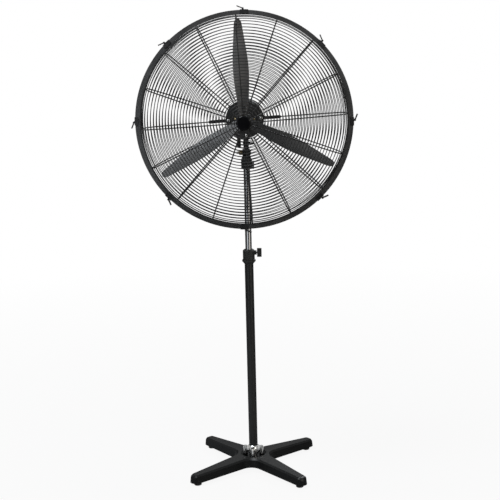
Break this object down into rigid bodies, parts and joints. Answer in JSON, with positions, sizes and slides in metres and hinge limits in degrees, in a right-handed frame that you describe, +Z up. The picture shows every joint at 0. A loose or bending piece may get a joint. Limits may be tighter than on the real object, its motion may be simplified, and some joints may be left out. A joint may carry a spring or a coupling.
{
  "type": "pedestal fan",
  "caption": "Tall oscillating pedestal fan: domed wire cage with lever clips round leaf-shaped blades, tilting neck, telescopic pole with wing knob, cross base.",
  "frame": {"origin": "on the floor under the pole's axis, between the four feet", "axes": "+Z up along the pole, -Y the way the fan blows at rest, +X to the right seen from in front of the fan"},
  "size_m": [0.8436, 0.5373, 1.8568],
  "materials": {
    "base_paint": "satin black enamel",
    "rubber": "matte",
    "chrome": "polished",
    "zinc_steel": "bright zinc",
    "yellow_zinc": "yellow zinc",
    "tube_paint": "satin black",
    "wire_paint": "semi-gloss black",
    "motor_paint": "satin black paint on die casting",
    "black_plastic": "fine grain",
    "gloss_cap": "gloss",
    "white_nylon": "moulded nylon",
    "blade_metal": "satin charcoal",
    "cast_metal": "painted casting",
    "steel": "machined",
    "lamination": "laminated steel",
    "copper": "varnished copper wire",
    "board": "green board",
    "bush_bronze": "sintered bronze"
  },
  "bodies": {
    "stand": {"base_cross": "base_paint", "base_feet": "rubber", "pole_flange": "chrome", "flange_bolts": "zinc_steel", "outer_tube": "tube_paint", "guide_bush": "white_nylon", "height_collar": "black_plastic"},
    "knob": {"height_knob": "black_plastic", "height_knob_screw": "zinc_steel"},
    "mast": {"inner_tube": "chrome", "tube_plug": "white_nylon", "neck_socket": "cast_metal", "socket_screws": "zinc_steel", "tilt_bolt": "zinc_steel"},
    "hand_nut": {"tilt_hand_nut": "yellow_zinc"},
    "neck": {"tilt_neck": "cast_metal", "tilt_washers": "zinc_steel", "swing_gear": "steel", "neck_circlip": "steel", "cable_clip": "black_plastic"},
    "head": {"swivel_bracket": "cast_metal", "swivel_bush": "bush_bronze", "motor_rear_bell": "motor_paint", "motor_front_bell": "motor_paint", "stator_core": "lamination", "stator_windings": "copper", "motor_bearings": "steel", "rear_cover": "black_plastic", "control_board": "board", "swing_motor": "steel", "cord_gland": "black_plastic", "front_guard_inner_rings": "wire_paint", "front_guard_outer_rings": "wire_paint", "front_guard_side_rings": "wire_paint", "front_guard_spokes": "wire_paint", "rear_guard_inner_rings": "wire_paint", "rear_guard_outer_rings": "wire_paint", "rear_guard_side_rings": "wire_paint", "rear_guard_spokes": "wire_paint", "rear_guard_bars": "wire_paint", "through_bolts": "zinc_steel", "front_cap": "gloss_cap", "guard_hoop": "wire_paint", "clip_saddles": "wire_paint"},
    "button": {"power_button": "black_plastic"},
    "pinion": {"swing_pinion": "steel"},
    "rotor": {"rotor_core": "lamination", "motor_shaft": "steel", "blade_hub": "cast_metal", "fan_blades": "blade_metal", "blade_screws": "cast_metal", "hub_nut": "zinc_steel"},
    "lever_1": {"clip_lever_1": "wire_paint"},
    "lever_2": {"clip_lever_2": "wire_paint"},
    "lever_3": {"clip_lever_3": "wire_paint"},
    "lever_4": {"clip_lever_4": "wire_paint"},
    "lever_5": {"clip_lever_5": "wire_paint"},
    "lever_6": {"clip_lever_6": "wire_paint"},
    "lever_7": {"clip_lever_7": "wire_paint"},
    "lever_8": {"clip_lever_8": "wire_paint"}
  },
  "joints": [
    {"name": "height_slide", "type": "slide", "parent": "stand", "child": "mast", "axis": [0, 0, 1], "range_m": [-0.28, 0.12]},
    {"name": "knob_turn", "type": "hinge", "parent": "stand", "child": "knob", "pos_m": [0.041, 0, 0.898], "axis": [1, 0, 0], "range_deg": [-180, 180]},
    {"name": "hand_nut_turn", "type": "hinge", "parent": "mast", "child": "hand_nut", "pos_m": [-0.02, 0, 1.297], "axis": [1, 0, 0], "range_deg": [-180, 180]},
    {"name": "head_tilt", "type": "hinge", "parent": "mast", "child": "neck", "pos_m": [0, 0, 1.297], "axis": [1, 0, 0], "range_deg": [-15, 20]},
    {"name": "head_swing", "type": "hinge", "parent": "neck", "child": "head", "pos_m": [0, 0, 1.38], "axis": [0, 0, 1], "range_deg": [-40, 40]},
    {"name": "pinion_turn", "type": "hinge", "parent": "head", "child": "pinion", "pos_m": [0, 0.027, 1.4175], "axis": [0, 0, 1], "range_deg": [-80, 80]},
    {"name": "blade_spin", "type": "hinge", "parent": "head", "child": "rotor", "pos_m": [0, -0.17, 1.435], "axis": [0, -1, 0], "continuous": true},
    {"name": "button_press", "type": "slide", "parent": "head", "child": "button", "axis": [0, -1, 0], "range_m": [0, 0.0025], "stiffness_N_per_m": 400},
    {"name": "clip_open_1", "type": "hinge", "parent": "head", "child": "lever_1", "pos_m": [0.41083, -0.1892, 1.43068], "axis": [0, 1, 0], "range_deg": [0, 95]},
    {"name": "clip_open_2", "type": "hinge", "parent": "head", "child": "lever_2", "pos_m": [0.29355, -0.1892, 1.72244], "axis": [0, 1, 0], "range_deg": [0, 95]},
    {"name": "clip_open_3", "type": "hinge", "parent": "head", "child": "lever_3", "pos_m": [0.00432, -0.1892, 1.84583], "axis": [0, 1, 0], "range_deg": [0, 95]},
    {"name": "clip_open_4", "type": "hinge", "parent": "head", "child": "lever_4", "pos_m": [-0.28744, -0.1892, 1.72855], "axis": [0, 1, 0], "range_deg": [0, 95]},
    {"name": "clip_open_5", "type": "hinge", "parent": "head", "child": "lever_5", "pos_m": [-0.41083, -0.1892, 1.43932], "axis": [0, 1, 0], "range_deg": [0, 95]},
    {"name": "clip_open_6", "type": "hinge", "parent": "head", "child": "lever_6", "pos_m": [-0.29355, -0.1892, 1.14756], "axis": [0, 1, 0], "range_deg": [0, 95]},
    {"name": "clip_open_7", "type": "hinge", "parent": "head", "child": "lever_7", "pos_m": [-0.00432, -0.1892, 1.02417], "axis": [0, 1, 0], "range_deg": [0, 95]},
    {"name": "clip_open_8", "type": "hinge", "parent": "head", "child": "lever_8", "pos_m": [0.28744, -0.1892, 1.14145], "axis": [0, 1, 0], "range_deg": [0, 95]}
  ],
  "couplings": [
    {"joint": "pinion_turn", "follows": "head_swing", "ratio": 2}
  ]
}
